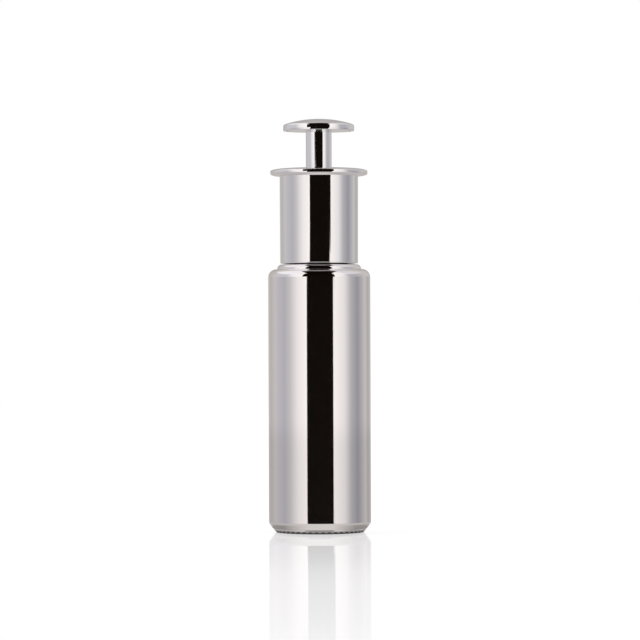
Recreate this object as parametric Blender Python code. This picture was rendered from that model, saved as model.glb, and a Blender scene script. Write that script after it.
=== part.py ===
"""Silvered glass serum bottle with a spring-return plunger head.

The head screws onto the bottle's neck. Two fingers hold its flange while the thumb presses the button. The
rod under the button drives a piston down the barrel, and the spring inside the stem lifts it again, which
draws serum up the glass pipette. Units are metres, +Z is up, and the origin is the centre of the base.
"""

import math

import bmesh
import bpy

MM = 0.001

# Clearances
SEAT_GAP = 0.25 * MM  # between pieces that rest on each other or are pressed together
RUN_GAP = 0.10 * MM  # radial room of what slides or turns
STOP_GAP = 0.40 * MM  # left at the bottom of the stroke

# Facets round the turned pieces, and along their roundings
BOTTLE_SEGMENTS = 44  # one to each groove of the base ring
SHELL_SEGMENTS = 48
INNER_SEGMENTS = 32
FINE_SAG = 0.06 * MM  # how far the chords of a rounding may lie inside it
COARSE_SAG = 0.3 * MM  # the same where nobody sees it
SHARP_ANGLE = math.radians(34)

# Bottle: body
BODY_RADIUS = 15.0 * MM
BODY_HEIGHT = 77.3 * MM
SHOULDER_ROUND = 2.4 * MM
BEAD_LEDGE = 0.82 * MM  # how far the bead stands out under the collar
BEAD_HEIGHT = 1.4 * MM
BEAD_ROUND = 1.35 * MM
HEEL_RADIUS = 13.9 * MM
HEEL_HEIGHT = 2.8 * MM
HEEL_ROUND = 1.2 * MM

# Bottle: base
BASE_RING_HEIGHT = 1.25 * MM
BASE_RING_DRAFT = 1.1 * MM
BASE_RING_WIDTH = 1.8 * MM
BASE_LINE_DEPTH = 0.2 * MM
BASE_LINE_WIDTH = 0.3 * MM
BASE_GROOVE_LENGTH = 0.8 * MM
BASE_GROOVE_DEPTH = 0.4 * MM
HOLLOW_EDGE = 0.7 * MM
HOLLOW_HEIGHT = 1.4 * MM

# Bottle: neck and inside
NECK_WALL = 2.1 * MM
NECK_HEIGHT = 14.2 * MM
NECK_ROUND = 0.8 * MM
RIM_ROUND = 0.5 * MM
BARREL_ROOM = 0.5 * MM  # round the pump barrel in the neck
GLASS_WALL = 2.2 * MM
FLOOR_HEIGHT = 4.5 * MM
INNER_HEEL_ROUND = 2.5 * MM
INNER_SHOULDER_ROUND = 2.5 * MM
SHOULDER_WALL = 2.6 * MM

# Screw thread of the neck and the cap
THREAD_PITCH = 3.175 * MM
THREAD_TURNS = 1.5
THREAD_HEIGHT = 0.9 * MM
THREAD_ROOT_WIDTH = 1.4 * MM
THREAD_CREST_WIDTH = 0.7 * MM
THREAD_BURY = 0.3 * MM
THREAD_BELOW_RIM = 2.6 * MM
THREAD_SEGMENTS = 44
THREAD_FADE_SHARE = 0.12  # of the thread's length, at each end

# Screw cap
CAP_WALL = 1.0 * MM
CAP_THREAD_ROOM = 0.35 * MM
CAP_WEB = 1.4 * MM
CAP_RECESS = 0.67 * MM

# Collar shell
COLLAR_DRAFT = 0.1 * MM
COLLAR_WALL = 1.13 * MM
COLLAR_LIFT = 0.25 * MM
COLLAR_EDGE_ROUND = 0.35 * MM
COLLAR_HEIGHT = 27.97 * MM
FLANGE_REACH = 2.75 * MM
FLANGE_UPPER = 1.17 * MM
FLANGE_LOWER = 1.15 * MM
FLANGE_CROWN = 5.2 * MM
FLANGE_PLATE = 2.0 * MM

# Thumb button and its insert
BUTTON_RADIUS = 10.43 * MM
BUTTON_HEIGHT = 3.55 * MM
BUTTON_RIM_HEIGHT = 1.84 * MM
BUTTON_EDGE_ROUND = 0.3 * MM
BUTTON_RIM_ROUND = 0.7 * MM
BUTTON_WALL = 1.15 * MM
BUTTON_CROWN_WALL = 1.05 * MM
PRESSED_GAP = 1.0 * MM  # between button and flange at the bottom of the stroke
INSERT_DISC = 1.0 * MM
INSERT_HUB_WALL = 1.16 * MM
INSERT_HUB_ROOF = 0.7 * MM
SPIGOT_LENGTH = 4.5 * MM
ROD_SOCKET_DEPTH = 3.5 * MM

# Stem and its bush
STEM_RADIUS = 3.79 * MM
STEM_WALL = 0.6 * MM
STEM_FOOT_REACH = 0.71 * MM
STEM_FOOT = 1.0 * MM
STEM_EDGE = 0.2 * MM
BUSH_WALL = 1.01 * MM
BUSH_PLATE = 1.0 * MM
BUSH_RECESS = 0.3 * MM

# Pump barrel
STROKE = 10.0 * MM
BARREL_FLANGE_REACH = 0.7 * MM  # past the neck
BARREL_FLANGE = 1.2 * MM
BARREL_UPPER_WALL = 0.55 * MM
CHAMBER_WALL = 1.2 * MM
CHAMBER_ROUND = 0.5 * MM
CHAMBER_FLOOR = 1.2 * MM
CHAMBER_PORT_RADIUS = 1.25 * MM
SOCKET_WALL = 0.7 * MM
SOCKET_DEPTH = 6.0 * MM

# Gasket
GASKET_THICKNESS = 1.0 * MM

# Rod, guide and piston
ROD_RADIUS = 1.7 * MM
ROD_SHANK_RADIUS = 1.3 * MM
ROD_SHOULDER_RADIUS = 2.6 * MM
ROD_SHOULDER = 0.6 * MM
ROD_HEAD_RADIUS = 2.2 * MM
ROD_HEAD = 0.8 * MM
ROD_HEAD_CHAMFER = 0.4 * MM
GUIDE_PLATE = 1.2 * MM
GUIDE_BOSS = 1.2 * MM
GUIDE_BOSS_RADIUS = 3.0 * MM
PISTON_HEIGHT = 2.8 * MM
PISTON_LIP = 0.55 * MM
PISTON_WAIST_DEPTH = 0.5 * MM

# Return spring
SPRING_WIRE = 0.5 * MM
SPRING_TURNS = 11
SPRING_POINTS = 8

# Pipette and its seal
PIPETTE_WALL = 1.0 * MM
PIPETTE_TIP_RADIUS = 1.3 * MM
PIPETTE_TIP_BORE = 0.6 * MM
PIPETTE_TIP_LENGTH = 2.0 * MM
PIPETTE_TAPER = 7.0 * MM
PIPETTE_TAPER_ROUND = 4.0 * MM
PIPETTE_ABOVE_FLOOR = 5.0 * MM
SEAL_WALL = 0.6 * MM
SEAL_INSET = 0.5 * MM  # from the socket's mouth
SEAL_RIBS = 2
SEAL_RIB_DEPTH = 0.2 * MM

# Radii that follow from a neighbour, from the stem outwards
STEM_BORE = STEM_RADIUS - STEM_WALL
STEM_FOOT_RADIUS = STEM_RADIUS + STEM_FOOT_REACH
UPPER_BORE = STEM_FOOT_RADIUS + SEAT_GAP
BARREL_RADIUS = UPPER_BORE + BARREL_UPPER_WALL
BORE_RADIUS = BARREL_RADIUS + BARREL_ROOM
NECK_RADIUS = BORE_RADIUS + NECK_WALL
CAP_BORE = NECK_RADIUS + THREAD_HEIGHT + CAP_THREAD_ROOM
CAP_RADIUS = CAP_BORE + CAP_WALL
COLLAR_BORE = CAP_RADIUS + SEAT_GAP
COLLAR_RADIUS = COLLAR_BORE + COLLAR_WALL
FLANGE_RADIUS = COLLAR_RADIUS + FLANGE_REACH
BEAD_RADIUS = COLLAR_RADIUS + BEAD_LEDGE
BUSH_BORE = STEM_RADIUS + RUN_GAP
BUSH_RADIUS = BUSH_BORE + BUSH_WALL
STEM_GROOVE_RADIUS = STEM_RADIUS + SEAT_GAP
INSERT_HUB_RADIUS = STEM_GROOVE_RADIUS + INSERT_HUB_WALL

# Radii that follow from a neighbour, from the stem and the barrel inwards
SPIGOT_RADIUS = STEM_BORE - SEAT_GAP
SPRING_RADIUS = (STEM_BORE + ROD_RADIUS) / 2
CHAMBER_RADIUS = BARREL_RADIUS - CHAMBER_WALL
SOCKET_BORE = BARREL_RADIUS - SOCKET_WALL
SEAL_RADIUS = SOCKET_BORE - SEAT_GAP
SEAL_BORE = SEAL_RADIUS - SEAL_WALL
PIPETTE_RADIUS = SEAL_BORE - SEAT_GAP

# Lengths that follow from a neighbour
BUTTON_LIFT = STROKE + PRESSED_GAP
INSERT_HUB_HEIGHT = BUTTON_HEIGHT - BUTTON_CROWN_WALL - SEAT_GAP
STEM_SEAT_DEPTH = INSERT_HUB_HEIGHT - INSERT_HUB_ROOF - SEAT_GAP
SEAL_LENGTH = SOCKET_DEPTH - 2 * SEAT_GAP - SEAL_INSET

# Heights of the seats above the table, up the neck
BEAD_TOP_Z = BODY_HEIGHT + BEAD_HEIGHT
RIM_Z = BEAD_TOP_Z + NECK_HEIGHT
GASKET_Z = RIM_Z + SEAT_GAP
BARREL_FLANGE_Z = GASKET_Z + GASKET_THICKNESS + SEAT_GAP
CAP_WEB_Z = BARREL_FLANGE_Z + BARREL_FLANGE + SEAT_GAP
COLLAR_Z = BEAD_TOP_Z + COLLAR_LIFT
COLLAR_TOP_Z = COLLAR_Z + COLLAR_HEIGHT
CAP_Z = COLLAR_Z + CAP_RECESS
BUTTON_Z = COLLAR_TOP_Z + BUTTON_LIFT

# Heights of the seats, down from the flange to the pipette
PLATE_Z = COLLAR_TOP_Z - FLANGE_PLATE
BUSH_Z = PLATE_Z - SEAT_GAP - BUSH_PLATE
CAP_TOP_Z = BUSH_Z - SEAT_GAP
STEM_Z = BUSH_Z - SEAT_GAP - STEM_FOOT
GUIDE_TOP_Z = STEM_Z - STROKE - STOP_GAP
GUIDE_Z = GUIDE_TOP_Z - GUIDE_PLATE - GUIDE_BOSS
LEDGE_Z = GUIDE_TOP_Z - GUIDE_PLATE - SEAT_GAP
ROD_SHOULDER_Z = GUIDE_Z - SEAT_GAP - ROD_SHOULDER
PISTON_Z = ROD_SHOULDER_Z - SEAT_GAP - PISTON_HEIGHT
ROD_Z = PISTON_Z - SEAT_GAP - ROD_HEAD
CHAMBER_Z = ROD_Z - STROKE - STOP_GAP
PORT_Z = CHAMBER_Z - CHAMBER_FLOOR
BARREL_Z = PORT_Z - SOCKET_DEPTH
PIPETTE_Z = FLOOR_HEIGHT + PIPETTE_ABOVE_FLOOR
PIPETTE_TOP_Z = PORT_Z - SEAT_GAP
SEAL_Z = PIPETTE_TOP_Z - SEAT_GAP - SEAL_LENGTH
SPIGOT_Z = BUTTON_Z - SPIGOT_LENGTH
STEM_TOP_Z = BUTTON_Z + STEM_SEAT_DEPTH
SPRING_Z = GUIDE_TOP_Z + SEAT_GAP
SPRING_LENGTH = SPIGOT_Z - SEAT_GAP - SPRING_Z


def clear_scene():
    for obj in list(bpy.data.objects):
        bpy.data.objects.remove(obj, do_unlink=True)


def arc_at(before, corner, after, rounding, sag):
    """The points of the rounding that replaces a corner between two neighbours."""
    to_before = math.atan2(before[1] - corner[1], before[0] - corner[0])
    to_after = math.atan2(after[1] - corner[1], after[0] - corner[0])
    between = (to_after - to_before + math.pi) % math.tau - math.pi
    half = abs(between) / 2
    middle = to_before + between / 2
    reach = rounding / math.sin(half)
    centre = (corner[0] + reach * math.cos(middle), corner[1] + reach * math.sin(middle))
    turn = math.copysign(math.pi - abs(between), -between)
    start = to_before + math.copysign(math.pi / 2, -between)
    widest_step = 2 * math.acos(max(0, 1 - sag / rounding))
    steps = math.ceil(abs(turn) / widest_step)
    return [
        (
            centre[0] + rounding * math.cos(start + turn * i / steps),
            centre[1] + rounding * math.sin(start + turn * i / steps),
        )
        for i in range(steps + 1)
    ]


def rounded(corners):
    """An outline's points from its corners: (radius, height), with a rounding and its sag if it has one."""
    points = []
    for i, (*corner, rounding, sag) in enumerate(c if len(c) == 4 else (*c, 0, 0) for c in corners):
        if rounding == 0:
            points.append(tuple(corner))
            continue
        before, after = corners[i - 1], corners[(i + 1) % len(corners)]
        points += arc_at(before, corner, after, rounding, sag)
    return points


def ellipse_quarter(centre, across, up, start, steps):
    """Points of a quarter ellipse, counterclockwise from the start angle."""
    return [
        (
            centre[0] + across * math.cos(start + math.pi / 2 * i / steps),
            centre[1] + up * math.sin(start + math.pi / 2 * i / steps),
        )
        for i in range(steps + 1)
    ]


def rectangle(inner, outer, height):
    return [(inner, 0), (outer, 0), (outer, height), (inner, height)]


def new_object(name, data):
    obj = bpy.data.objects.new(name, data)
    bpy.context.scene.collection.objects.link(obj)
    return obj


def finished_mesh(name, bm):
    """A mesh object from the bmesh, closed, facing out and shaded smooth between its sharp edges."""
    merge_distance = RUN_GAP / 100
    bmesh.ops.remove_doubles(bm, verts=bm.verts, dist=merge_distance)
    bmesh.ops.recalc_face_normals(bm, faces=bm.faces)
    mesh = bpy.data.meshes.new(name)
    bm.to_mesh(mesh)
    bm.free()
    mesh.shade_smooth()
    mesh.set_sharp_from_angle(angle=SHARP_ANGLE)
    return new_object(name, mesh)


def turned_bmesh(points, segments):
    """The outline spun about Z. It closes on itself, or on the axis where both its ends lie there."""
    bm = bmesh.new()
    verts = [bm.verts.new((radius, 0, height)) for radius, height in points]
    edges = [bm.edges.new(pair) for pair in zip(verts, verts[1:])]
    if points[0][0] > 0:
        edges.append(bm.edges.new((verts[-1], verts[0])))
    bmesh.ops.spin(
        bm,
        geom=verts + edges,
        cent=(0, 0, 0),
        axis=(0, 0, 1),
        angle=math.tau,
        steps=segments,
        use_merge=True,
    )
    return bm


def turned(name, points, segments):
    return finished_mesh(name, turned_bmesh(points, segments))


def thread_ridge(name, wall_radius, crest_radius, start_z):
    """A helical ridge that rises counterclockwise and sinks into its wall at both ends."""
    outward = math.copysign(1, crest_radius - wall_radius)
    root_radius = wall_radius - outward * THREAD_BURY
    steps = round(THREAD_TURNS * THREAD_SEGMENTS)
    fade_steps = THREAD_FADE_SHARE * steps
    bm = bmesh.new()
    rings = []
    for i in range(steps + 1):
        rise = min(1, i / fade_steps, (steps - i) / fade_steps)
        sunk_radius = root_radius + outward * THREAD_BURY / 2
        crest = sunk_radius + (crest_radius - sunk_radius) * rise
        angle = math.tau * i / THREAD_SEGMENTS
        z = start_z + THREAD_PITCH * i / THREAD_SEGMENTS
        section = [
            (root_radius, -THREAD_ROOT_WIDTH / 2),
            (crest, -THREAD_CREST_WIDTH / 2),
            (crest, THREAD_CREST_WIDTH / 2),
            (root_radius, THREAD_ROOT_WIDTH / 2),
        ]
        rings.append(
            [bm.verts.new((r * math.cos(angle), r * math.sin(angle), z + dz)) for r, dz in section]
        )
    for ring, following in zip(rings, rings[1:]):
        for j in range(len(ring)):
            k = (j + 1) % len(ring)
            bm.faces.new((ring[j], ring[k], following[k], following[j]))
    bm.faces.new(rings[0])
    bm.faces.new(rings[-1])
    ridge = finished_mesh(name, bm)
    ridge.hide_render = True
    ridge.display_type = "WIRE"
    return ridge


def join_ridge(obj, ridge):
    ridge.parent = obj
    union = obj.modifiers.new("thread", "BOOLEAN")
    union.operation = "UNION"
    union.solver = "EXACT"
    union.object = ridge


def finish(obj, colour, roughness, metallic):
    """Gives the object a material of its own."""
    material = bpy.data.materials.new(obj.name)
    material.use_nodes = True
    shader = material.node_tree.nodes["Principled BSDF"]
    shader.inputs["Base Color"].default_value = (*colour, 1)
    shader.inputs["Roughness"].default_value = roughness
    shader.inputs["Metallic"].default_value = metallic
    material.diffuse_color = (*colour, 1)
    obj.data.materials.append(material)


def finish_silvered_glass(obj):
    finish(obj, colour=(0.80, 0.79, 0.79), roughness=0.10, metallic=1.0)


def finish_plated_plastic(obj):
    finish(obj, colour=(0.83, 0.82, 0.82), roughness=0.08, metallic=1.0)


def finish_bright_aluminium(obj):
    finish(obj, colour=(0.84, 0.84, 0.85), roughness=0.12, metallic=1.0)


def finish_white_polypropylene(obj):
    finish(obj, colour=(0.80, 0.81, 0.80), roughness=0.45, metallic=0.0)


def finish_acetal(obj):
    finish(obj, colour=(0.86, 0.86, 0.83), roughness=0.35, metallic=0.0)


def finish_spring_steel(obj):
    finish(obj, colour=(0.60, 0.60, 0.61), roughness=0.25, metallic=1.0)


def finish_silicone(obj):
    finish(obj, colour=(0.72, 0.73, 0.74), roughness=0.55, metallic=0.0)


def finish_foam_polyethylene(obj):
    finish(obj, colour=(0.88, 0.88, 0.87), roughness=0.80, metallic=0.0)


def finish_clear_glass(obj):
    finish(obj, colour=(0.85, 0.89, 0.88), roughness=0.05, metallic=0.0)


def axis_empty(name, z, parent=None):
    """An empty on the bottle's axis that a group of pieces moves with."""
    empty = new_object(name, None)
    place(empty, z, parent)
    return empty


def height_of(obj):
    return obj.location.z + (height_of(obj.parent) if obj.parent else 0)


def place(obj, z, parent):
    obj.parent = parent
    obj.location.z = z - (height_of(parent) if parent else 0)


def bottle_outside():
    ring_foot = HEEL_RADIUS - BASE_RING_DRAFT
    hollow_foot = ring_foot - BASE_RING_WIDTH
    line_z = BASE_RING_HEIGHT - BASE_LINE_WIDTH
    below_line = ring_foot + BASE_RING_DRAFT * line_z / BASE_RING_HEIGHT
    return [
        (0, HOLLOW_HEIGHT),
        (hollow_foot - HOLLOW_EDGE, HOLLOW_EDGE),
        (hollow_foot, 0),
        (ring_foot - BASE_GROOVE_LENGTH, 0),
        (ring_foot, 0),
        (below_line, line_z),
        ((below_line + HEEL_RADIUS) / 2 - BASE_LINE_DEPTH, line_z + BASE_LINE_WIDTH / 2),
        (HEEL_RADIUS, BASE_RING_HEIGHT),
        (BODY_RADIUS, HEEL_HEIGHT, HEEL_ROUND, FINE_SAG),
        (BODY_RADIUS, BODY_HEIGHT, SHOULDER_ROUND, FINE_SAG),
        (BEAD_RADIUS, BODY_HEIGHT),
        (BEAD_RADIUS, BEAD_TOP_Z, BEAD_ROUND, FINE_SAG),
        (NECK_RADIUS, BEAD_TOP_Z, NECK_ROUND, COARSE_SAG),
        (NECK_RADIUS, RIM_Z, RIM_ROUND, FINE_SAG),
    ]


def bottle_inside():
    inner_radius = BODY_RADIUS - GLASS_WALL
    inner_top = BODY_HEIGHT - SHOULDER_WALL
    return [
        (BORE_RADIUS, RIM_Z, RIM_ROUND, FINE_SAG),
        (BORE_RADIUS, inner_top, SHOULDER_ROUND, COARSE_SAG),
        (inner_radius, inner_top, INNER_SHOULDER_ROUND, COARSE_SAG),
        (inner_radius, FLOOR_HEIGHT, INNER_HEEL_ROUND, COARSE_SAG),
        (0, FLOOR_HEIGHT),
    ]


def groove_base_ring(bm):
    """Halves each edge of the base ring's foot and lifts the new point, which cuts a short groove there."""
    foot_radius = HEEL_RADIUS - BASE_RING_DRAFT
    on_foot = {
        v
        for v in bm.verts
        if abs(v.co.z) < RUN_GAP and abs(v.co.xy.length - foot_radius) < RUN_GAP
    }
    foot_edges = [e for e in bm.edges if set(e.verts) <= on_foot]
    halved = bmesh.ops.subdivide_edges(bm, edges=foot_edges, cuts=1)
    for v in halved["geom_inner"]:
        if isinstance(v, bmesh.types.BMVert):
            v.co.xy *= foot_radius / v.co.xy.length
            v.co.z = BASE_GROOVE_DEPTH


def make_bottle():
    bm = turned_bmesh(rounded(bottle_outside() + bottle_inside()), BOTTLE_SEGMENTS)
    groove_base_ring(bm)
    bottle = finished_mesh("bottle", bm)
    crest_radius = NECK_RADIUS + THREAD_HEIGHT
    start_z = RIM_Z - THREAD_BELOW_RIM - THREAD_TURNS * THREAD_PITCH
    join_ridge(bottle, thread_ridge("neck_thread", NECK_RADIUS, crest_radius, start_z))
    finish_silvered_glass(bottle)
    return bottle


def make_neck_gasket(parent):
    outline = rectangle(BARREL_RADIUS + SEAT_GAP, NECK_RADIUS, GASKET_THICKNESS)
    gasket = turned("neck_gasket", outline, INNER_SEGMENTS)
    place(gasket, GASKET_Z, parent)
    finish_foam_polyethylene(gasket)


def make_pump_barrel(parent):
    flange_radius = NECK_RADIUS + BARREL_FLANGE_REACH
    flange_low = BARREL_FLANGE_Z - BARREL_Z
    flange_high = flange_low + BARREL_FLANGE
    top = CAP_TOP_Z - BARREL_Z
    ledge = LEDGE_Z - BARREL_Z
    floor = CHAMBER_Z - BARREL_Z
    outline = [
        (SOCKET_BORE, 0),
        (BARREL_RADIUS, 0),
        (BARREL_RADIUS, flange_low),
        (flange_radius, flange_low),
        (flange_radius, flange_high),
        (BARREL_RADIUS, flange_high),
        (BARREL_RADIUS, top),
        (UPPER_BORE, top),
        (UPPER_BORE, ledge),
        (CHAMBER_RADIUS, ledge),
        (CHAMBER_RADIUS, floor, CHAMBER_ROUND, COARSE_SAG),
        (CHAMBER_PORT_RADIUS, floor),
        (CHAMBER_PORT_RADIUS, SOCKET_DEPTH),
        (SOCKET_BORE, SOCKET_DEPTH),
    ]
    barrel = turned("pump_barrel", rounded(outline), INNER_SEGMENTS)
    place(barrel, BARREL_Z, parent)
    finish_white_polypropylene(barrel)


def make_rod_guide(parent):
    bore = ROD_RADIUS + RUN_GAP
    edge = UPPER_BORE - SEAT_GAP
    top = GUIDE_BOSS + GUIDE_PLATE
    outline = [
        (bore, 0),
        (GUIDE_BOSS_RADIUS, 0),
        (GUIDE_BOSS_RADIUS, GUIDE_BOSS),
        (edge, GUIDE_BOSS),
        (edge, top),
        (bore, top),
    ]
    guide = turned("rod_guide", outline, INNER_SEGMENTS)
    place(guide, GUIDE_Z, parent)
    finish_acetal(guide)


def make_return_spring(parent):
    """One tube along a helix, standing on the rod guide."""
    climb = SPRING_LENGTH - SPRING_WIRE
    count = SPRING_TURNS * SPRING_POINTS
    curve = bpy.data.curves.new("return_spring", "CURVE")
    curve.dimensions = "3D"
    curve.bevel_depth = SPRING_WIRE / 2
    curve.bevel_resolution = 1
    curve.use_fill_caps = True
    spline = curve.splines.new("POLY")
    spline.points.add(count)
    for i, point in enumerate(spline.points):
        angle = math.tau * i / SPRING_POINTS
        x, y = SPRING_RADIUS * math.cos(angle), SPRING_RADIUS * math.sin(angle)
        point.co = (x, y, SPRING_WIRE / 2 + climb * i / count, 1)
    spring = new_object("return_spring", curve)
    place(spring, SPRING_Z, parent)
    finish_spring_steel(spring)


def make_pipette(parent):
    length = PIPETTE_TOP_Z - PIPETTE_Z
    bore = PIPETTE_RADIUS - PIPETTE_WALL
    outline = [
        (PIPETTE_TIP_BORE, 0),
        (PIPETTE_TIP_RADIUS, 0),
        (PIPETTE_TIP_RADIUS, PIPETTE_TIP_LENGTH),
        (PIPETTE_RADIUS, PIPETTE_TAPER, PIPETTE_TAPER_ROUND, FINE_SAG),
        (PIPETTE_RADIUS, length),
        (bore, length),
        (bore, PIPETTE_TAPER),
        (PIPETTE_TIP_BORE, PIPETTE_TIP_LENGTH),
    ]
    pipette = turned("pipette", rounded(outline), INNER_SEGMENTS)
    place(pipette, PIPETTE_Z, parent)
    finish_clear_glass(pipette)


def make_pipette_seal(parent):
    """A sleeve with ribs outside, which grips the pipette in the barrel's socket."""
    rib_pitch = SEAL_LENGTH / SEAL_RIBS
    outline = [(SEAL_BORE, 0)]
    for i in range(SEAL_RIBS):
        outline.append((SEAL_RADIUS - SEAL_RIB_DEPTH, rib_pitch * i))
        outline.append((SEAL_RADIUS, rib_pitch * (i + 1 / 3)))
        outline.append((SEAL_RADIUS, rib_pitch * (i + 2 / 3)))
    outline.append((SEAL_RADIUS - SEAL_RIB_DEPTH, SEAL_LENGTH))
    outline.append((SEAL_BORE, SEAL_LENGTH))
    seal = turned("pipette_seal", outline, INNER_SEGMENTS)
    place(seal, SEAL_Z, parent)
    finish_silicone(seal)


def make_screw_cap(parent):
    web_bore = BARREL_RADIUS + SEAT_GAP
    web_low = CAP_WEB_Z - CAP_Z
    web_high = web_low + CAP_WEB
    height = CAP_TOP_Z - CAP_Z
    outline = [
        (CAP_BORE, 0),
        (CAP_RADIUS, 0),
        (CAP_RADIUS, height),
        (CAP_BORE, height),
        (CAP_BORE, web_high),
        (web_bore, web_high),
        (web_bore, web_low),
        (CAP_BORE, web_low),
    ]
    cap = turned("screw_cap", outline, INNER_SEGMENTS)
    place(cap, CAP_Z, parent)
    start_z = RIM_Z - THREAD_BELOW_RIM - THREAD_TURNS * THREAD_PITCH - THREAD_PITCH / 2 - CAP_Z
    join_ridge(cap, thread_ridge("cap_thread", CAP_BORE, CAP_BORE - THREAD_HEIGHT, start_z))
    finish_white_polypropylene(cap)


def make_collar_shell(parent):
    """The outer collar: a plain tube under a flange with a long upper and a short lower rounding."""
    flange_z = COLLAR_HEIGHT - FLANGE_UPPER
    under = ellipse_quarter(
        (COLLAR_RADIUS, flange_z), FLANGE_RADIUS - COLLAR_RADIUS, FLANGE_LOWER, -math.pi / 2, 4
    )
    over = ellipse_quarter(
        (FLANGE_RADIUS - FLANGE_CROWN, flange_z), FLANGE_CROWN, FLANGE_UPPER, 0, 5
    )
    hole_radius = BUSH_RADIUS + SEAT_GAP
    plate_z = COLLAR_HEIGHT - FLANGE_PLATE
    edge = (COLLAR_RADIUS - COLLAR_DRAFT, 0, COLLAR_EDGE_ROUND, FINE_SAG)
    outline = rounded([(COLLAR_BORE, 0), edge, under[0]]) + under[1:] + over[1:]
    outline += [(hole_radius, COLLAR_HEIGHT), (hole_radius, plate_z), (COLLAR_BORE, plate_z)]
    shell = turned("collar_shell", outline, SHELL_SEGMENTS)
    place(shell, COLLAR_Z, parent)
    finish_plated_plastic(shell)


def make_stem_bush(parent):
    plate_edge = COLLAR_BORE - SEAT_GAP
    top = COLLAR_TOP_Z - BUSH_RECESS - BUSH_Z
    outline = [
        (BUSH_BORE, 0),
        (plate_edge, 0),
        (plate_edge, BUSH_PLATE),
        (BUSH_RADIUS, BUSH_PLATE),
        (BUSH_RADIUS, top),
        (BUSH_BORE, top),
    ]
    bush = turned("stem_bush", outline, INNER_SEGMENTS)
    place(bush, BUSH_Z, parent)
    finish_acetal(bush)


def make_plunger_rod(parent):
    shank_top = ROD_SHOULDER_Z - ROD_Z
    shoulder_top = shank_top + ROD_SHOULDER
    top = SPIGOT_Z + ROD_SOCKET_DEPTH - SEAT_GAP - ROD_Z
    outline = [
        (0, 0),
        (ROD_HEAD_RADIUS - ROD_HEAD_CHAMFER, 0),
        (ROD_HEAD_RADIUS, ROD_HEAD_CHAMFER),
        (ROD_HEAD_RADIUS, ROD_HEAD),
        (ROD_SHANK_RADIUS, ROD_HEAD),
        (ROD_SHANK_RADIUS, shank_top),
        (ROD_SHOULDER_RADIUS, shank_top),
        (ROD_SHOULDER_RADIUS, shoulder_top),
        (ROD_RADIUS, shoulder_top),
        (ROD_RADIUS, top),
        (0, top),
    ]
    rod = turned("plunger_rod", outline, INNER_SEGMENTS)
    place(rod, ROD_Z, parent)
    finish_acetal(rod)


def make_piston_seal(parent):
    bore = ROD_SHANK_RADIUS + SEAT_GAP
    lip_radius = CHAMBER_RADIUS - RUN_GAP
    waist_radius = lip_radius - PISTON_WAIST_DEPTH
    waist_low = PISTON_LIP + PISTON_WAIST_DEPTH
    waist_high = PISTON_HEIGHT - waist_low
    outline = [
        (bore, 0),
        (lip_radius, 0),
        (lip_radius, PISTON_LIP),
        (waist_radius, waist_low),
        (waist_radius, waist_high),
        (lip_radius, PISTON_HEIGHT - PISTON_LIP),
        (lip_radius, PISTON_HEIGHT),
        (bore, PISTON_HEIGHT),
    ]
    piston = turned("piston_seal", outline, INNER_SEGMENTS)
    place(piston, PISTON_Z, parent)
    finish_silicone(piston)


def make_stem_sleeve(parent):
    """The bright tube, with a wider foot that stops under the bush."""
    length = STEM_TOP_Z - STEM_Z
    outline = [
        (STEM_BORE, 0),
        (STEM_FOOT_RADIUS - STEM_EDGE, 0),
        (STEM_FOOT_RADIUS, STEM_EDGE),
        (STEM_FOOT_RADIUS, STEM_FOOT),
        (STEM_RADIUS, STEM_FOOT),
        (STEM_RADIUS, length),
        (STEM_BORE, length),
    ]
    stem = turned("stem_sleeve", outline, INNER_SEGMENTS)
    place(stem, STEM_Z, parent)
    finish_bright_aluminium(stem)


def make_button_insert(parent):
    """The disc that closes the button, with a spigot down into the stem and a socket for the rod."""
    rod_socket = ROD_RADIUS + SEAT_GAP
    groove_top = SPIGOT_LENGTH + STEM_SEAT_DEPTH + SEAT_GAP
    edge = BUTTON_RADIUS - BUTTON_WALL - SEAT_GAP
    outline = [
        (0, ROD_SOCKET_DEPTH),
        (rod_socket, ROD_SOCKET_DEPTH),
        (rod_socket, 0),
        (SPIGOT_RADIUS, 0),
        (SPIGOT_RADIUS, groove_top),
        (STEM_GROOVE_RADIUS, groove_top),
        (STEM_GROOVE_RADIUS, SPIGOT_LENGTH),
        (edge, SPIGOT_LENGTH),
        (edge, SPIGOT_LENGTH + INSERT_DISC),
        (INSERT_HUB_RADIUS, SPIGOT_LENGTH + INSERT_DISC),
        (INSERT_HUB_RADIUS, SPIGOT_LENGTH + INSERT_HUB_HEIGHT),
        (0, SPIGOT_LENGTH + INSERT_HUB_HEIGHT),
    ]
    insert = turned("button_insert", outline, SHELL_SEGMENTS)
    place(insert, SPIGOT_Z, parent)
    finish_plated_plastic(insert)


def dome_arc(steps):
    """Points from the top of the button's rim up to its crown, on one shallow sphere."""
    rise = BUTTON_HEIGHT - BUTTON_RIM_HEIGHT
    sphere = (BUTTON_RADIUS**2 + rise**2) / (2 * rise)
    half_angle = math.asin(BUTTON_RADIUS / sphere)
    return [
        (
            sphere * math.sin(half_angle * (1 - i / steps)),
            BUTTON_HEIGHT - sphere * (1 - math.cos(half_angle * (1 - i / steps))),
        )
        for i in range(steps)
    ]


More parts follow.
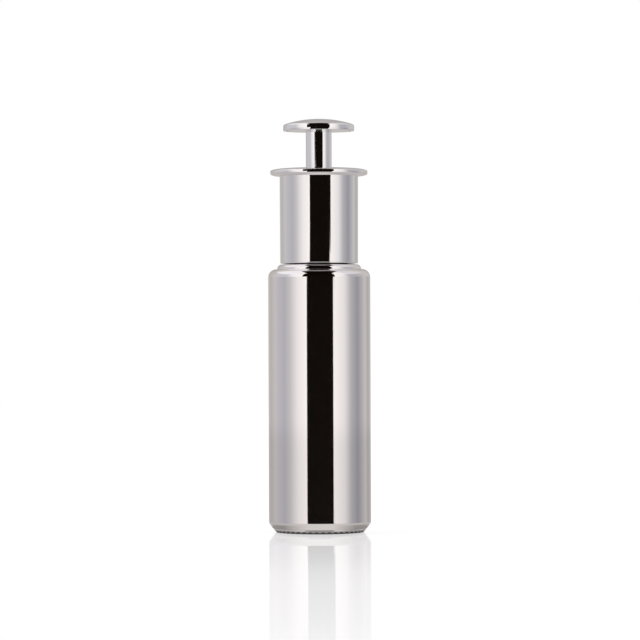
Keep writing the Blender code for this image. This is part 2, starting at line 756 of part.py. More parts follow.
def make_thumb_button(parent):
    """A domed cap, hollowed from below for the insert and its hub."""
    edge = BUTTON_RADIUS - BUTTON_WALL
    ceiling = INSERT_DISC + SEAT_GAP
    hub_bore = INSERT_HUB_RADIUS + SEAT_GAP
    hub_ceiling = INSERT_HUB_HEIGHT + SEAT_GAP
    crown = dome_arc(4)
    outline = [
        (0, hub_ceiling),
        (hub_bore, hub_ceiling),
        (hub_bore, ceiling),
        (edge, ceiling),
        (edge, 0),
        (BUTTON_RADIUS, 0, BUTTON_EDGE_ROUND, FINE_SAG),
        (*crown[0], BUTTON_RIM_ROUND, FINE_SAG),
    ]
    outline = rounded(outline + crown[1:]) + [(0, BUTTON_HEIGHT)]
    button = turned("thumb_button", outline, SHELL_SEGMENTS)
    place(button, BUTTON_Z, parent)
    finish_plated_plastic(button)


def build():
    clear_scene()
    bottle = make_bottle()

    head = axis_empty("head_lift", GASKET_Z, bottle)
    make_neck_gasket(head)
    make_pump_barrel(head)
    make_rod_guide(head)
    make_return_spring(head)
    make_pipette(head)
    make_pipette_seal(head)

    collar = axis_empty("collar_turn", COLLAR_Z, head)
    make_screw_cap(collar)
    make_collar_shell(collar)
    make_stem_bush(collar)

    plunger = axis_empty("plunger_press", STEM_Z, head)
    make_plunger_rod(plunger)
    make_piston_seal(plunger)
    make_stem_sleeve(plunger)
    make_button_insert(plunger)
    make_thumb_button(plunger)


build()
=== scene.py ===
import math

import bmesh
import bpy
from mathutils import Matrix, Vector


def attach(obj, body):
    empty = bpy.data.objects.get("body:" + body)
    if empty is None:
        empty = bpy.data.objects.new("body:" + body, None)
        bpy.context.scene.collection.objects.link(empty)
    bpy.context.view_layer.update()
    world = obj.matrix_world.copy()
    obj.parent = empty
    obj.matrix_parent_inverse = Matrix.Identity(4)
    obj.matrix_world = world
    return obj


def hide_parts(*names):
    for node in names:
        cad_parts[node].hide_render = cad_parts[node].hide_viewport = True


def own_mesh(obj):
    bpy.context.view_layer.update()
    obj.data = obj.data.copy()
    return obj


MM = 0.001
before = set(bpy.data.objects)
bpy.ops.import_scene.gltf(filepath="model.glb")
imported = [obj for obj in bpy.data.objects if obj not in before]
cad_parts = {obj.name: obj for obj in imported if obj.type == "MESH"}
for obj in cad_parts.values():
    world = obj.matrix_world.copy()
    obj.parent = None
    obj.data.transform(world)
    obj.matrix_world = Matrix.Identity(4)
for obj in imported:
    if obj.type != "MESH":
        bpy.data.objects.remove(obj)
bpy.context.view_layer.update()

# Bottle. Moulded glass with a thick wall, a bead under the neck, a cut-in heel and a stippled base ring. It
# is silvered outside and lacquered, so it looks like solid polished metal. The head screws onto its neck.
BODY_RADIUS, BODY_HEIGHT, SHOULDER_ROUND = 15.0, 77.3, 2.4
BEAD_RADIUS, BEAD_TOP, BEAD_ROUND = 12.35, 78.7, 1.35
NECK_RADIUS, NECK_FOOT_ROUND, RIM_HEIGHT, RIM_ROUND = 7.9, 0.8, 92.9, 0.5
BORE_RADIUS, BORE_FOOT_ROUND = 5.8, 2.4
INNER_RADIUS, INNER_TOP, INNER_ROUND, FLOOR_HEIGHT = 12.8, 74.7, 2.5, 4.5
HEEL_RADIUS, HEEL_TOP, HEEL_ROUND = 13.9, 2.8, 0.43
RING_FOOT_RADIUS, RING_TOP = 12.8, 1.25
LINE_LOW, LINE_DEPTH, LINE_EDGE_ROUND, LINE_BOTTOM_ROUND = 0.95, 0.2, 0.08, 0.03
HOLLOW_RADIUS, HOLLOW_HEIGHT, HOLLOW_EDGE, HOLLOW_ROUND, FOOT_ROUND = 11.0, 1.4, 0.7, 0.3, 0.12
BASE_GROOVES, GROOVE_LENGTH, GROOVE_DEPTH, STEPS_A_GROOVE = 44, 0.8, 0.4, 6
THREAD_LOW, THREAD_PITCH, THREAD_TURNS, THREAD_STEPS = 85.54, 3.175, 1.5, 88
THREAD_FADE = 0.12  # share of the thread's length over which each end fades
THREAD_BURY, THREAD_REACH, THREAD_FOOT_WIDTH, THREAD_TOP_WIDTH = 0.3, 0.9, 1.4, 0.7
ROUND_STEPS, SHARP_ANGLE = 8, 34  # steps of a rounding, and the degrees from which an edge looks sharp
SAME_PLACE, SAME_POINT = 0.01, 0.001


def linear(hex_text):
    """An sRGB hex colour as the linear RGBA that Blender's nodes take."""
    channels = [int(hex_text[i:i + 2], 16) / 255 for i in (1, 3, 5)]
    return (*[c / 12.92 if c <= 0.04045 else ((c + 0.055) / 1.055) ** 2.4 for c in channels], 1)


def start_material(name):
    """An empty material and its node tree."""
    material = bpy.data.materials.new(name)
    material.use_nodes = True
    material.node_tree.nodes.clear()
    return material, material.node_tree


def add_node(tree, kind, inputs=None, **settings):
    """Adds a node. An input is linked where its value is another node's output, and set where it isn't."""
    node = tree.nodes.new("ShaderNode" + kind)
    for name, value in settings.items():
        setattr(node, name, value)
    for key, value in (inputs or {}).items():
        if isinstance(value, bpy.types.NodeSocket):
            tree.links.new(value, node.inputs[key])
        else:
            node.inputs[key].default_value = value
    return node


def round_corner(bm, vert, radius):
    """Rounds one corner of a drawn outline."""
    bmesh.ops.bevel(bm, geom=[vert], offset=radius * MM, offset_type="OFFSET", segments=ROUND_STEPS,
                    profile=0.5, affect="VERTICES", material=-1)


def outline(corners, closed):
    """Draws half of a piece's section from corners of (radius, height, rounding), in mm."""
    bm = bmesh.new()
    verts = [bm.verts.new((radius * MM, 0, height * MM)) for radius, height, rounding in corners]
    for pair in zip(verts, verts[1:]):
        bm.edges.new(pair)
    if closed:
        bm.edges.new((verts[-1], verts[0]))
    for vert, (radius, height, rounding) in zip(verts, corners):
        if rounding:
            round_corner(bm, vert, rounding)
    return bm


def turn(bm, steps):
    """Spins the outline round the axis into a closed body."""
    bmesh.ops.spin(bm, geom=bm.verts[:] + bm.edges[:], cent=(0, 0, 0), axis=(0, 0, 1), angle=math.tau,
                   steps=steps, use_merge=True)
    bmesh.ops.remove_doubles(bm, verts=bm.verts, dist=SAME_POINT * MM)
    bmesh.ops.recalc_face_normals(bm, faces=bm.faces)
    return bm


def make_object(name, bm, material):
    """Turns a drawn mesh into an object of one material."""
    mesh = bpy.data.meshes.new(name)
    bm.to_mesh(mesh)
    bm.free()
    mesh.materials.append(material)
    obj = bpy.data.objects.new(name, mesh)
    bpy.context.scene.collection.objects.link(obj)
    return obj


def add_piece(name, bm, material, body, node):
    """Makes a smooth piece that takes the place of a CAD node and rides on a body."""
    obj = make_object(name, bm, material)
    obj.data.shade_smooth()
    obj.data.set_sharp_from_angle(angle=math.radians(SHARP_ANGLE))
    even = obj.modifiers.new("even_normals", "WEIGHTED_NORMAL")
    even.keep_sharp = True
    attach(obj, body)
    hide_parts(node)
    return obj


def ring_side(height):
    """How far out the base ring's slanted side is at a height."""
    return RING_FOOT_RADIUS + (HEEL_RADIUS - RING_FOOT_RADIUS) * height / RING_TOP


line_middle = (LINE_LOW + RING_TOP) / 2
glass = turn(outline([
    (0, HOLLOW_HEIGHT, 0), (HOLLOW_RADIUS - HOLLOW_EDGE, HOLLOW_EDGE, HOLLOW_ROUND),
    (HOLLOW_RADIUS, 0, FOOT_ROUND), (RING_FOOT_RADIUS - GROOVE_LENGTH, 0, 0), (RING_FOOT_RADIUS, 0, 0),
    (ring_side(LINE_LOW), LINE_LOW, LINE_EDGE_ROUND),
    (ring_side(line_middle) - LINE_DEPTH, line_middle, LINE_BOTTOM_ROUND),
    (HEEL_RADIUS, RING_TOP, LINE_EDGE_ROUND), (BODY_RADIUS, HEEL_TOP, HEEL_ROUND),
    (BODY_RADIUS, BODY_HEIGHT, SHOULDER_ROUND), (BEAD_RADIUS, BODY_HEIGHT, 0),
    (BEAD_RADIUS, BEAD_TOP, BEAD_ROUND), (NECK_RADIUS, BEAD_TOP, NECK_FOOT_ROUND),
    (NECK_RADIUS, RIM_HEIGHT, RIM_ROUND), (BORE_RADIUS, RIM_HEIGHT, RIM_ROUND),
    (BORE_RADIUS, INNER_TOP, BORE_FOOT_ROUND), (INNER_RADIUS, INNER_TOP, INNER_ROUND),
    (INNER_RADIUS, FLOOR_HEIGHT, INNER_ROUND), (0, FLOOR_HEIGHT, 0)], closed=False),
    STEPS_A_GROOVE * BASE_GROOVES)
for vert in glass.verts:
    out_of_ring = abs(vert.co.xy.length - RING_FOOT_RADIUS * MM)
    if max(vert.co.z, out_of_ring) < SAME_PLACE * MM:
        turned_by = math.atan2(vert.co.y, vert.co.x)
        vert.co.z = (1 - math.cos(BASE_GROOVES * turned_by)) / 2 * GROOVE_DEPTH * MM
thread_root, thread_crest = NECK_RADIUS - THREAD_BURY, NECK_RADIUS + THREAD_REACH
thread_sunk = NECK_RADIUS - THREAD_BURY / 2
ridge = [glass.verts.new((radius * MM, 0, (THREAD_LOW + height) * MM)) for radius, height in (
    (thread_root, -THREAD_FOOT_WIDTH / 2), (thread_sunk, -THREAD_TOP_WIDTH / 2),
    (thread_sunk, THREAD_TOP_WIDTH / 2), (thread_root, THREAD_FOOT_WIDTH / 2))]
last = [glass.faces.new(ridge)]
last += last[0].verts[:] + last[0].edges[:]
thread_steps = round(THREAD_TURNS * THREAD_STEPS)
for step in range(1, thread_steps + 1):
    last = bmesh.ops.spin(glass, geom=last, cent=(0, 0, 0), axis=(0, 0, 1), angle=math.tau / THREAD_STEPS,
                          dvec=(0, 0, THREAD_PITCH / THREAD_STEPS * MM), steps=1)["geom_last"]
    to_nearer_end = min(step, thread_steps - step) / thread_steps
    reach = thread_sunk + (thread_crest - thread_sunk) * min(1, to_nearer_end / THREAD_FADE)
    for vert in last:
        if isinstance(vert, bmesh.types.BMVert) and vert.co.xy.length > (thread_root + thread_sunk) / 2 * MM:
            vert.co.xy *= reach * MM / vert.co.xy.length
bmesh.ops.recalc_face_normals(glass, faces=glass.faces)

# Silver sprayed on glass under a clear lacquer: a true mirror, with the very faint ripple of a lacquer that
# levelled by itself and a haze that comes and goes over a few millimetres.
silvered_glass, tree = start_material("silvered_glass_lacquered")
place = add_node(tree, "TexCoord")
ripple = add_node(tree, "TexNoise", {"Vector": place.outputs["Object"], "Scale": 1 / (3 * MM), "Detail": 2})
haze = add_node(tree, "TexNoise", {"Vector": place.outputs["Object"], "Scale": 1 / (7 * MM), "Detail": 3})
haze_range = add_node(tree, "MapRange", {"Value": haze.outputs["Fac"], "To Min": 0.04, "To Max": 0.07})
bump = add_node(tree, "Bump", {"Height": ripple.outputs["Fac"], "Strength": 0.1, "Distance": 0.02 * MM})
shader = add_node(tree, "BsdfPrincipled", {
    "Base Color": linear("#F4F2F1"), "Metallic": 1.0, "Roughness": haze_range.outputs["Result"],
    "Normal": bump.outputs["Normal"]})
add_node(tree, "OutputMaterial", {"Surface": shader.outputs["BSDF"]})
add_piece("silvered_bottle", glass, silvered_glass, "bottle", "bottle")

# Neck gasket. A ring punched from closed-cell polyethylene foam, clamped between the glass rim and the flange
# of the pump barrel. Its cut faces show fine cells.
foam, tree = start_material("polyethylene_foam_punched")
place = add_node(tree, "TexCoord")
cells = add_node(tree, "TexVoronoi", {"Vector": place.outputs["Object"], "Scale": 1 / (0.25 * MM)})
bump = add_node(tree, "Bump", {
    "Height": cells.outputs["Distance"], "Strength": 0.5, "Distance": 0.05 * MM})
tint = add_node(tree, "ValToRGB", {"Fac": cells.outputs["Distance"]})
tint.color_ramp.elements[0].color = linear("#E2E1DC")
tint.color_ramp.elements[1].color = linear("#F3F2EF")
shader = add_node(tree, "BsdfPrincipled", {
    "Base Color": tint.outputs["Color"], "Roughness": 0.85, "Normal": bump.outputs["Normal"]})
add_node(tree, "OutputMaterial", {"Surface": shader.outputs["BSDF"]})
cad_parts["neck_gasket"].material_slots[0].material = foam

# Pump barrel and screw cap. Both are moulded in natural polypropylene: milky, waxy, with a slight
# spark-eroded grain from the mould. The barrel hangs in the bottle's neck, and the cap clamps its flange.
polypropylene, tree = start_material("polypropylene_moulded")
place = add_node(tree, "TexCoord")
grain = add_node(tree, "TexNoise", {"Vector": place.outputs["Object"], "Scale": 1 / (0.3 * MM), "Detail": 3})
grain_range = add_node(tree, "MapRange", {"Value": grain.outputs["Fac"], "To Min": 0.36, "To Max": 0.52})
bump = add_node(tree, "Bump", {"Height": grain.outputs["Fac"], "Strength": 0.3, "Distance": 0.03 * MM})
milk = add_node(tree, "ValToRGB", {"Fac": grain.outputs["Fac"]})
milk.color_ramp.elements[0].color = linear("#E6E8E6")
milk.color_ramp.elements[1].color = linear("#EFF0EE")
shader = add_node(tree, "BsdfPrincipled", {
    "Base Color": milk.outputs["Color"], "Roughness": grain_range.outputs["Result"], "IOR": 1.49,
    "Subsurface Weight": 0.3, "Subsurface Scale": 0.5 * MM, "Normal": bump.outputs["Normal"]})
add_node(tree, "OutputMaterial", {"Surface": shader.outputs["BSDF"]})
for name in ("pump_barrel", "screw_cap"):
    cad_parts[name].material_slots[0].material = polypropylene

# Rod guide and plunger rod. Acetal mouldings, denser and whiter than the cap, with a low gloss and fine rings
# left by the turned mould. The guide sits on the barrel's ledge, and the rod runs through it.
acetal, tree = start_material("acetal_moulded")
place = add_node(tree, "TexCoord")
rings = add_node(tree, "TexWave", {
    "Vector": place.outputs["Object"], "Scale": 1 / (0.25 * MM) / math.tau, "Distortion": 0.4},
    wave_type="RINGS", rings_direction="Z")
bump = add_node(tree, "Bump", {"Height": rings.outputs["Fac"], "Strength": 0.2, "Distance": 0.01 * MM})
sheen = add_node(tree, "MapRange", {"Value": rings.outputs["Fac"], "To Min": 0.28, "To Max": 0.36})
shader = add_node(tree, "BsdfPrincipled", {
    "Base Color": linear("#EEEDE8"), "Roughness": sheen.outputs["Result"], "IOR": 1.48,
    "Normal": bump.outputs["Normal"]})
add_node(tree, "OutputMaterial", {"Surface": shader.outputs["BSDF"]})
for name in ("rod_guide", "plunger_rod"):
    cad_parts[name].material_slots[0].material = acetal

# Return spring. Stainless wire wound round the rod, with a closed coil at each end so that it stands square
# on the guide. It is squeezed between the guide and the button's insert as the button goes down.
WIRE, WIRE_SIDES, COIL_RADIUS, COIL_LOW, COIL_HIGH = 0.5, 14, 2.445, 92.27, 113.17
COIL_STEPS, END_COILS, OPEN_COILS, STROKE = 32, 1, 9, 10.0
coil = bmesh.new()
bmesh.ops.create_circle(coil, cap_ends=True, radius=WIRE / 2 * MM, segments=WIRE_SIDES,
                        matrix=Matrix.Translation((COIL_RADIUS * MM, 0, (COIL_LOW + WIRE / 2) * MM))
                        @ Matrix.Rotation(math.pi / 2, 4, "X"))
last = coil.verts[:] + coil.edges[:] + coil.faces[:]
end_rise = END_COILS * WIRE
open_rise = COIL_HIGH - COIL_LOW - WIRE - 2 * end_rise
for turns, rise in ((END_COILS, end_rise), (OPEN_COILS, open_rise), (END_COILS, end_rise)):
    steps = turns * COIL_STEPS
    last = bmesh.ops.spin(coil, geom=last, cent=(0, 0, 0), axis=(0, 0, 1), angle=math.tau * turns,
                          dvec=(0, 0, rise / steps * MM), steps=steps)["geom_last"]
bmesh.ops.recalc_face_normals(coil, faces=coil.faces)

# Drawn stainless wire: grey, with the soft sheen of fine marks from the die.
spring_wire, tree = start_material("stainless_spring_wire_drawn")
place = add_node(tree, "TexCoord")
drawing = add_node(tree, "TexNoise", {
    "Vector": place.outputs["Object"], "Scale": 1 / (0.15 * MM), "Detail": 2})
drawing_range = add_node(tree, "MapRange", {"Value": drawing.outputs["Fac"], "To Min": 0.18, "To Max": 0.32})
shader = add_node(tree, "BsdfPrincipled", {
    "Base Color": linear("#CBCBCC"), "Metallic": 1.0, "Roughness": drawing_range.outputs["Result"]})
add_node(tree, "OutputMaterial", {"Surface": shader.outputs["BSDF"]})
spring = add_piece("spring_coil", coil, spring_wire, "pump_unit", "return_spring")
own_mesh(spring)

# Pipette. A drawn borosilicate tube with fire-polished ends and a tip that narrows just above the bottle's
# floor. It is clear, with a faint green in its thickness, and is pushed into the barrel's socket.
PIPETTE_RADIUS, PIPETTE_BORE, PIPETTE_TOP, MOUTH_ROUND = 3.5, 2.5, 72.82, 0.3
TIP_RADIUS, TIP_BORE, TIP_LOW, TIP_TOP, TIP_ROUND = 1.3, 0.6, 9.5, 11.5, 0.2
TAPER_TOP, TAPER_TOP_ROUND, TAPER_FOOT_ROUND, PIPETTE_STEPS = 16.5, 0.8, 0.3, 72
tube = turn(outline([
    (TIP_BORE, TIP_LOW, TIP_ROUND), (TIP_RADIUS, TIP_LOW, TIP_ROUND), (TIP_RADIUS, TIP_TOP, TAPER_FOOT_ROUND),
    (PIPETTE_RADIUS, TAPER_TOP, TAPER_TOP_ROUND), (PIPETTE_RADIUS, PIPETTE_TOP, MOUTH_ROUND),
    (PIPETTE_BORE, PIPETTE_TOP, MOUTH_ROUND), (PIPETTE_BORE, TAPER_TOP, TAPER_TOP_ROUND),
    (TIP_BORE, TIP_TOP, TIP_ROUND)], closed=True), PIPETTE_STEPS)
clear_glass, tree = start_material("borosilicate_glass_drawn")
place = add_node(tree, "TexCoord")
draw_lines = add_node(tree, "TexNoise", {
    "Vector": place.outputs["Object"], "Scale": 1 / (4 * MM), "Detail": 1})
bump = add_node(tree, "Bump", {
    "Height": draw_lines.outputs["Fac"], "Strength": 0.05, "Distance": 0.02 * MM})
shader = add_node(tree, "BsdfPrincipled", {
    "Base Color": linear("#F3FAF7"), "Roughness": 0.02, "IOR": 1.47, "Transmission Weight": 1.0,
    "Normal": bump.outputs["Normal"]})
add_node(tree, "OutputMaterial", {"Surface": shader.outputs["BSDF"]})
add_piece("pipette_tube", tube, clear_glass, "pump_unit", "pipette")

# Pipette seal and piston. Translucent silicone mouldings: one grips the tube in its socket, the other wipes
# the barrel. Silicone has a soft bloom that varies from place to place.
silicone, tree = start_material("silicone_moulded")
place = add_node(tree, "TexCoord")
bloom = add_node(tree, "TexNoise", {"Vector": place.outputs["Object"], "Scale": 1 / (0.6 * MM), "Detail": 4})
bloom_range = add_node(tree, "MapRange", {"Value": bloom.outputs["Fac"], "To Min": 0.46, "To Max": 0.66})
shader = add_node(tree, "BsdfPrincipled", {
    "Base Color": linear("#DDDEDF"), "Roughness": bloom_range.outputs["Result"], "IOR": 1.41,
    "Subsurface Weight": 0.5, "Subsurface Scale": 1 * MM})
add_node(tree, "OutputMaterial", {"Surface": shader.outputs["BSDF"]})
for name in ("pipette_seal", "piston_seal"):
    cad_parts[name].material_slots[0].material = silicone

# Collar. An ABS moulding, plated bright silver: a plain tube pressed over the cap, with a wide finger flange
# that is full and round underneath, upright for under a millimetre at its lip and softly crowned on top. As
# in the solids, what is pressed together stands SEAT_GAP apart, and what slides has RUN_GAP round it.
SEAT_GAP, RUN_GAP = 0.25, 0.10
COLLAR_RADIUS, COLLAR_BORE, COLLAR_DRAFT, COLLAR_RIM_ROUND, COLLAR_STEPS = 11.53, 10.40, 0.1, 0.35, 192
LIP_LOW, LIP_RADIUS, LIP_UP, LIP_FACE = 104.60, 14.28, 0.74, 0.76
CROWN_ACROSS, CROWN_UP, PLATE_LOW, PLATE_HOLE = 5.2, 0.82, 104.92, 5.15
OVAL_STEPS, SPARE = 20, 0.001  # a bevel leaves a spare bit of the edges that it cuts


def round_oval(bm, radius, height, across, up):
    """Rounds the corner at (radius, height) by a quarter of an oval, as a circle in a stretched drawing."""
    bmesh.ops.scale(bm, vec=(1, 1, across / up), verts=bm.verts)
    at = Vector((radius * MM, 0, height * across / up * MM))
    corner = min(bm.verts, key=lambda vert: (vert.co - at).length)
    bmesh.ops.bevel(bm, geom=[corner], offset=across * MM, offset_type="OFFSET", segments=OVAL_STEPS,
                    profile=0.5, affect="VERTICES", material=-1)
    bmesh.ops.scale(bm, vec=(1, 1, up / across), verts=bm.verts)


collar_low, lip_across = BEAD_TOP + SEAT_GAP, LIP_RADIUS - COLLAR_RADIUS
lip_top = LIP_LOW + LIP_UP + LIP_FACE
crown_top = lip_top + CROWN_UP
collar = outline([
    (COLLAR_BORE, collar_low, 0), (COLLAR_RADIUS - COLLAR_DRAFT, collar_low, COLLAR_RIM_ROUND),
    (COLLAR_RADIUS, LIP_LOW, 0), (LIP_RADIUS, LIP_LOW, 0), (LIP_RADIUS, LIP_LOW + LIP_UP, 0),
    (LIP_RADIUS, lip_top, 0), (LIP_RADIUS, crown_top, 0), (PLATE_HOLE, crown_top, 0),
    (PLATE_HOLE, PLATE_LOW, 0), (COLLAR_BORE, PLATE_LOW, 0)], closed=True)
round_oval(collar, LIP_RADIUS, LIP_LOW, lip_across - 2 * SPARE, LIP_UP - SPARE)
round_oval(collar, LIP_RADIUS, crown_top, CROWN_ACROSS, CROWN_UP - SPARE)
turn(collar, COLLAR_STEPS)

# Chrome-like silver over polished ABS. It follows the moulding, so it keeps that moulding's faint waves, and
# it carries a little haze where fingers hold it.
plated_abs, tree = start_material("abs_plated_silver")
place = add_node(tree, "TexCoord")
waves = add_node(tree, "TexNoise", {"Vector": place.outputs["Object"], "Scale": 1 / (4 * MM), "Detail": 1})
smears = add_node(tree, "TexNoise", {"Vector": place.outputs["Object"], "Scale": 1 / (5 * MM), "Detail": 3})
smear_range = add_node(tree, "MapRange", {"Value": smears.outputs["Fac"], "To Min": 0.03, "To Max": 0.07})
bump = add_node(tree, "Bump", {"Height": waves.outputs["Fac"], "Strength": 0.1, "Distance": 0.02 * MM})
shader = add_node(tree, "BsdfPrincipled", {
    "Base Color": linear("#F5F4F4"), "Metallic": 1.0, "Roughness": smear_range.outputs["Result"],
    "Normal": bump.outputs["Normal"]})
add_node(tree, "OutputMaterial", {"Surface": shader.outputs["BSDF"]})
add_piece("plated_collar", collar, plated_abs, "collar", "collar_shell")

# Stem bush. An acetal guide under the flange that the stem slides in, with a spigot up through the flange
# that ends just below its crown. It is pressed into the collar.
STEM_RADIUS, BUSH_PLATE, BUSH_ROUND, BUSH_MOUTH_ROUND, BUSH_STEPS = 3.79, 1.0, 0.15, 0.1, 128
SPIGOT_SINK, SPIGOT_ROUND = 0.3, 0.2
bush_bore, bush_radius, spigot_radius = STEM_RADIUS + RUN_GAP, COLLAR_BORE - SEAT_GAP, PLATE_HOLE - SEAT_GAP
bush_top, spigot_top = PLATE_LOW - SEAT_GAP, crown_top - SPIGOT_SINK
bush_low = bush_top - BUSH_PLATE
bush = turn(outline([
    (bush_bore, bush_low, BUSH_MOUTH_ROUND), (bush_radius, bush_low, BUSH_ROUND),
    (bush_radius, bush_top, BUSH_ROUND), (spigot_radius, bush_top, 0),
    (spigot_radius, spigot_top, SPIGOT_ROUND), (bush_bore, spigot_top, BUSH_ROUND)], closed=True), BUSH_STEPS)
add_piece("stem_guide_bush", bush, acetal, "collar", "stem_bush")

# Stem. Thin aluminium tube, drawn and polished bright, with a rolled-out foot that stops it under the bush.
# It covers the spring, and the button's insert is pressed into its top.
STEM_WALL, STEM_LENGTH, STEM_ROUND, STEM_STEPS = 0.6, 16.8, 0.1, 128
STOP_RADIUS, STOP_HEIGHT, STOP_ROUND = 4.50, 1.0, 0.2
stem_bore, stop_top = STEM_RADIUS - STEM_WALL, bush_low - SEAT_GAP
stem_low = stop_top - STOP_HEIGHT
stem_top = stem_low + STEM_LENGTH
stem = turn(outline([
    (stem_bore, stem_low, STEM_ROUND), (STOP_RADIUS, stem_low, STOP_ROUND),
    (STOP_RADIUS, stop_top, STEM_ROUND), (STEM_RADIUS, stop_top, 0),
    (STEM_RADIUS, stem_top, STEM_ROUND), (stem_bore, stem_top, STEM_ROUND)], closed=True), STEM_STEPS)

# Bright drawn aluminium: a mirror with very fine lines along the tube, where it ran through the die.
bright_aluminium, tree = start_material("aluminium_drawn_bright")
place = add_node(tree, "TexCoord")
along = add_node(tree, "Mapping", {"Vector": place.outputs["Object"], "Scale": (1, 1, 0.05)})
lines = add_node(tree, "TexNoise", {"Vector": along.outputs["Vector"], "Scale": 1 / (0.2 * MM), "Detail": 2})
line_range = add_node(tree, "MapRange", {"Value": lines.outputs["Fac"], "To Min": 0.04, "To Max": 0.07})
bump = add_node(tree, "Bump", {"Height": lines.outputs["Fac"], "Strength": 0.02, "Distance": 0.005 * MM})
shader = add_node(tree, "BsdfPrincipled", {
    "Base Color": linear("#F1F1F2"), "Metallic": 1.0, "Roughness": line_range.outputs["Result"],
    "Normal": bump.outputs["Normal"]})
add_node(tree, "OutputMaterial", {"Surface": shader.outputs["BSDF"]})
add_piece("bright_stem", stem, bright_aluminium, "plunger", "stem_sleeve")

# Button insert. A plated disc that closes the button from below, with a plug up into it. Its hub is pressed
# into the stem, and a bore in the hub holds the end of the plunger rod.
HUB_BORE, HUB_BORE_DEPTH, HUB_HEIGHT, INSERT_STEPS = 1.95, 3.5, 4.5, 144
DISC_RADIUS, DISC_THICKNESS, PLUG_RADIUS, PLUG_HEIGHT = 9.03, 1.0, 5.20, 1.25
INSERT_ROUND, HUB_MOUTH_ROUND, SLOT_ROUND = 0.2, 0.15, 0.1
hub_low, hub_radius = COIL_HIGH + SEAT_GAP, stem_bore - SEAT_GAP
slot_radius, slot_top = STEM_RADIUS + SEAT_GAP, stem_top + SEAT_GAP
disc_low = hub_low + HUB_HEIGHT
disc_top = disc_low + DISC_THICKNESS
plug_top = disc_top + PLUG_HEIGHT
insert = turn(outline([
    (0, hub_low + HUB_BORE_DEPTH, 0), (HUB_BORE, hub_low + HUB_BORE_DEPTH, 0),
    (HUB_BORE, hub_low, HUB_MOUTH_ROUND), (hub_radius, hub_low, INSERT_ROUND), (hub_radius, slot_top, 0),
    (slot_radius, slot_top, 0), (slot_radius, disc_low, SLOT_ROUND), (DISC_RADIUS, disc_low, INSERT_ROUND),
    (DISC_RADIUS, disc_top, INSERT_ROUND), (PLUG_RADIUS, disc_top, 0), (PLUG_RADIUS, plug_top, INSERT_ROUND),
    (0, plug_top, 0)], closed=False), INSERT_STEPS)
add_piece("button_disc", insert, plated_abs, "plunger", "button_insert")

# Thumb button. A shallow plated ABS cup turned upside down over the insert, with a soft edge and a top that
# is domed for the thumb.
BUTTON_RADIUS, BUTTON_TOP, DOME_RADIUS, DOME_STEPS, BUTTON_STEPS = 10.43, 121.47, 32.66, 20, 192
BUTTON_EDGE_ROUND, BUTTON_RIM_ROUND = 0.5, 0.12
dome_reach = math.asin(BUTTON_RADIUS / DOME_RADIUS)
edge_height = BUTTON_TOP - DOME_RADIUS * (1 - math.cos(dome_reach))
button = outline([
    (0, plug_top + SEAT_GAP, 0), (PLUG_RADIUS + SEAT_GAP, plug_top + SEAT_GAP, 0),
    (PLUG_RADIUS + SEAT_GAP, disc_top + SEAT_GAP, 0), (DISC_RADIUS + SEAT_GAP, disc_top + SEAT_GAP, 0),
    (DISC_RADIUS + SEAT_GAP, disc_low, 0), (BUTTON_RADIUS, disc_low, BUTTON_RIM_ROUND),
    (BUTTON_RADIUS, edge_height, 0)], closed=False)
crown = button.verts.new((0, 0, BUTTON_TOP * MM))
bmesh.ops.spin(button, geom=[crown], cent=(0, 0, (BUTTON_TOP - DOME_RADIUS) * MM), axis=(0, 1, 0),
               angle=dome_reach, steps=DOME_STEPS)
bmesh.ops.remove_doubles(button, verts=button.verts, dist=SAME_POINT * MM)
round_corner(button, max(button.verts, key=lambda vert: vert.co.x + vert.co.z), BUTTON_EDGE_ROUND)
turn(button, BUTTON_STEPS)
add_piece("domed_button", button, plated_abs, "plunger", "thumb_button")

# Light tent. Three rings of glowing cloth stand on each other round the bottle under an open white sky, with
# a black cloth behind the camera that runs on overhead. The levels and tints were tuned until the grey bands
# in the metal came near the photograph's. Sizes are in metres, bearings in degrees.
TENT_RADIUS, TENT_FOOT, LOW_TOP, MIDDLE_TOP, TENT_TOP = 1.5, -0.01, 0.168, 0.90, 1.6
LEFT_SKY = ((30, 1.0), (120, 1.0), (150, 0.6), (180, 0.5))
RIGHT_SKY = ((30, 1.0), (60, 1.0), (75, 0.8), (115, 0.75), (160, 0.5))
TENT_RINGS = (  # name, heights, and the light levels by bearing to the left and to the right
    ("low", (TENT_FOOT, LOW_TOP),
     ((30, 1.05), (50, 0.9), (70, 0.6), (85, 0.5), (120, 0.6), (140, 0.5), (160, 0.55)),
     ((30, 1.05), (58, 0.85), (75, 0.5), (95, 0.35), (125, 0.6), (140, 0.45), (160, 0.55))),
    ("middle", (LOW_TOP, MIDDLE_TOP),
     ((40, 1.1), (65, 0.95), (80, 0.65), (115, 0.65), (140, 0.55), (170, 0.45)),
     ((35, 1.1), (55, 0.95), (75, 0.5), (95, 0.5), (125, 0.6), (150, 0.6), (170, 0.45))),
    ("high", (MIDDLE_TOP, TENT_TOP), LEFT_SKY, RIGHT_SKY))
TINTS = ((40, "#FFF9F8"), (60, "#FEFAFA"), (85, "#F9F6FF"), (105, "#F9F6FE"), (130, "#FFFAF8"))
BLACK_RADIUS, BLACK_STEP = 1.49, 0.1005
BLACK_CLOTHS = (  # name, heights, and the bearings of the left and the right edge
    ("low", (TENT_FOOT, BLACK_STEP), -28.3, 31.0), ("middle", (BLACK_STEP, LOW_TOP), -27.0, 34.5),
    ("high", (LOW_TOP, TENT_TOP), -38.5, 36.0))
OVERHEAD_FRONT, OVERHEAD_BACK, OVERHEAD_END = 0.88, 0.60, 0.1  # half widths, and how far past the bottle
STEP_DEGREES = 3
WHITE = (1, 1, 1, 1)


